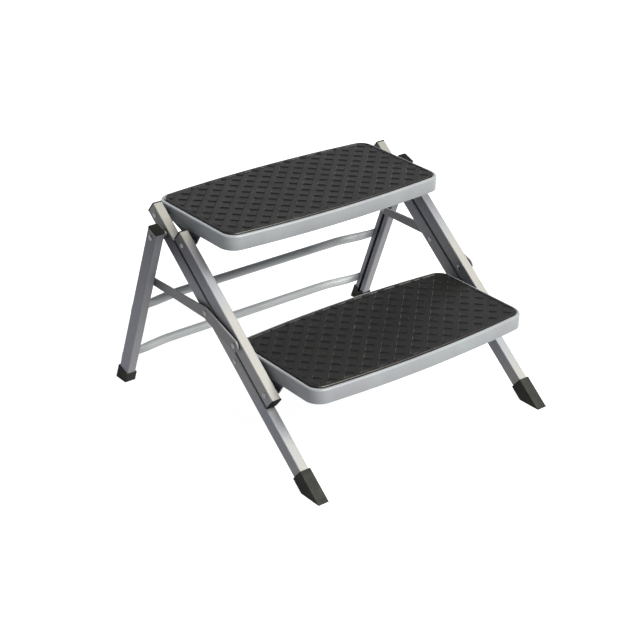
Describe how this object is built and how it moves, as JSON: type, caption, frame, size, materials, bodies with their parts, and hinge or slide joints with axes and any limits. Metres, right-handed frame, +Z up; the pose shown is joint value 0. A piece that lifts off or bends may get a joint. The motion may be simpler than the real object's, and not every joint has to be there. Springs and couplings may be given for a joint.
{
  "type": "step stool",
  "caption": "Folding step stool with level treads on tube legs; the treads, links, side levers and slotted rear frame fold together flat.",
  "frame": {"origin": "on the floor, midway between the front feet's tips and the rear feet's heels, on the centre line", "axes": "+X across the stool to the right of a person climbing it, +Y from the bottom step towards the top step, +Z up"},
  "size_m": [0.576, 0.5472, 0.3628],
  "materials": {
    "tube_aluminium": "satin silver tube",
    "tread_paint": "silver grey paint, satin",
    "mat_rubber": "charcoal black moulded rubber with a raised diagonal pattern",
    "foot_rubber": "black rubber",
    "cap_plastic": "black moulded plastic",
    "washer_plastic": "dark moulded plastic",
    "roller_nylon": "natural nylon",
    "rivet_steel": "zinc plated steel",
    "bracket_steel": "grey painted steel",
    "lever_steel": "satin grey flat bar",
    "crossbar_steel": "grey painted tube"
  },
  "bodies": {
    "front_frame": {"front_leg_left": "tube_aluminium", "front_leg_right": "tube_aluminium", "front_leg_cap_left": "cap_plastic", "front_leg_cap_right": "cap_plastic", "front_foot_left": "foot_rubber", "front_foot_right": "foot_rubber", "top_tread_rivets": "rivet_steel", "bottom_tread_rivets": "rivet_steel", "tread_spacers": "washer_plastic", "lever_rivets": "rivet_steel", "lever_washers": "washer_plastic", "hinge_rivets": "rivet_steel", "hinge_spacers": "washer_plastic", "stop_pads": "cap_plastic"},
    "top_tread": {"top_tread_pan": "tread_paint", "top_tread_mat": "mat_rubber", "top_tread_bracket_left": "bracket_steel", "top_tread_bracket_right": "bracket_steel"},
    "bottom_tread": {"bottom_tread_pan": "tread_paint", "bottom_tread_mat": "mat_rubber", "bottom_tread_bracket_left": "bracket_steel", "bottom_tread_bracket_right": "bracket_steel"},
    "left_link": {"link_left": "tube_aluminium", "link_caps_left": "cap_plastic", "link_rivets_left": "rivet_steel", "link_spacers_left": "washer_plastic", "link_lever_rivet_left": "rivet_steel", "link_washer_left": "washer_plastic"},
    "right_link": {"link_right": "tube_aluminium", "link_caps_right": "cap_plastic", "link_rivets_right": "rivet_steel", "link_spacers_right": "washer_plastic", "link_lever_rivet_right": "rivet_steel", "link_washer_right": "washer_plastic"},
    "left_lever": {"lever_left": "lever_steel", "slide_pin_left": "rivet_steel", "slide_roller_left": "roller_nylon"},
    "right_lever": {"lever_right": "lever_steel", "slide_pin_right": "rivet_steel", "slide_roller_right": "roller_nylon"},
    "rear_frame": {"rear_leg_left": "tube_aluminium", "rear_leg_right": "tube_aluminium", "rear_leg_cap_left": "cap_plastic", "rear_leg_cap_right": "cap_plastic", "rear_foot_left": "foot_rubber", "rear_foot_right": "foot_rubber", "crossbar_upper": "crossbar_steel", "crossbar_lower": "crossbar_steel", "crossbar_rivets": "rivet_steel"}
  },
  "joints": [
    {"name": "fold", "type": "hinge", "parent": "front_frame", "child": "top_tread", "pos_m": [0, 0.17697, 0.34241], "axis": [-1, 0, 0], "range_deg": [0, 137]},
    {"name": "bottom_tread_pivot", "type": "hinge", "parent": "front_frame", "child": "bottom_tread", "pos_m": [0, -0.04954, 0.16133], "axis": [-1, 0, 0], "range_deg": [0, 137]},
    {"name": "left_link_pivot", "type": "hinge", "parent": "top_tread", "child": "left_link", "pos_m": [-0.2483, 0.09817, 0.31527], "axis": [-1, 0, 0], "range_deg": [-137, 0]},
    {"name": "right_link_pivot", "type": "hinge", "parent": "top_tread", "child": "right_link", "pos_m": [0.2483, 0.09817, 0.31527], "axis": [-1, 0, 0], "range_deg": [-137, 0]},
    {"name": "left_lever_pivot", "type": "hinge", "parent": "front_frame", "child": "left_lever", "pos_m": [-0.2483, 0.02544, 0.22127], "axis": [-1, 0, 0], "range_deg": [0, 137]},
    {"name": "right_lever_pivot", "type": "hinge", "parent": "front_frame", "child": "right_lever", "pos_m": [0.2483, 0.02544, 0.22127], "axis": [-1, 0, 0], "range_deg": [0, 137]},
    {"name": "rear_frame_hinge", "type": "hinge", "parent": "front_frame", "child": "rear_frame", "pos_m": [0, 0.14729, 0.31868], "axis": [-1, 0, 0], "range_deg": [0, 68.5]}
  ],
  "couplings": [
    {"joint": "bottom_tread_pivot", "follows": "fold", "ratio": 1},
    {"joint": "left_link_pivot", "follows": "fold", "ratio": -1},
    {"joint": "right_link_pivot", "follows": "fold", "ratio": -1},
    {"joint": "left_lever_pivot", "follows": "fold", "ratio": 1},
    {"joint": "right_lever_pivot", "follows": "fold", "ratio": 1},
    {"joint": "rear_frame_hinge", "follows": "fold", "ratio": 0.5}
  ]
}
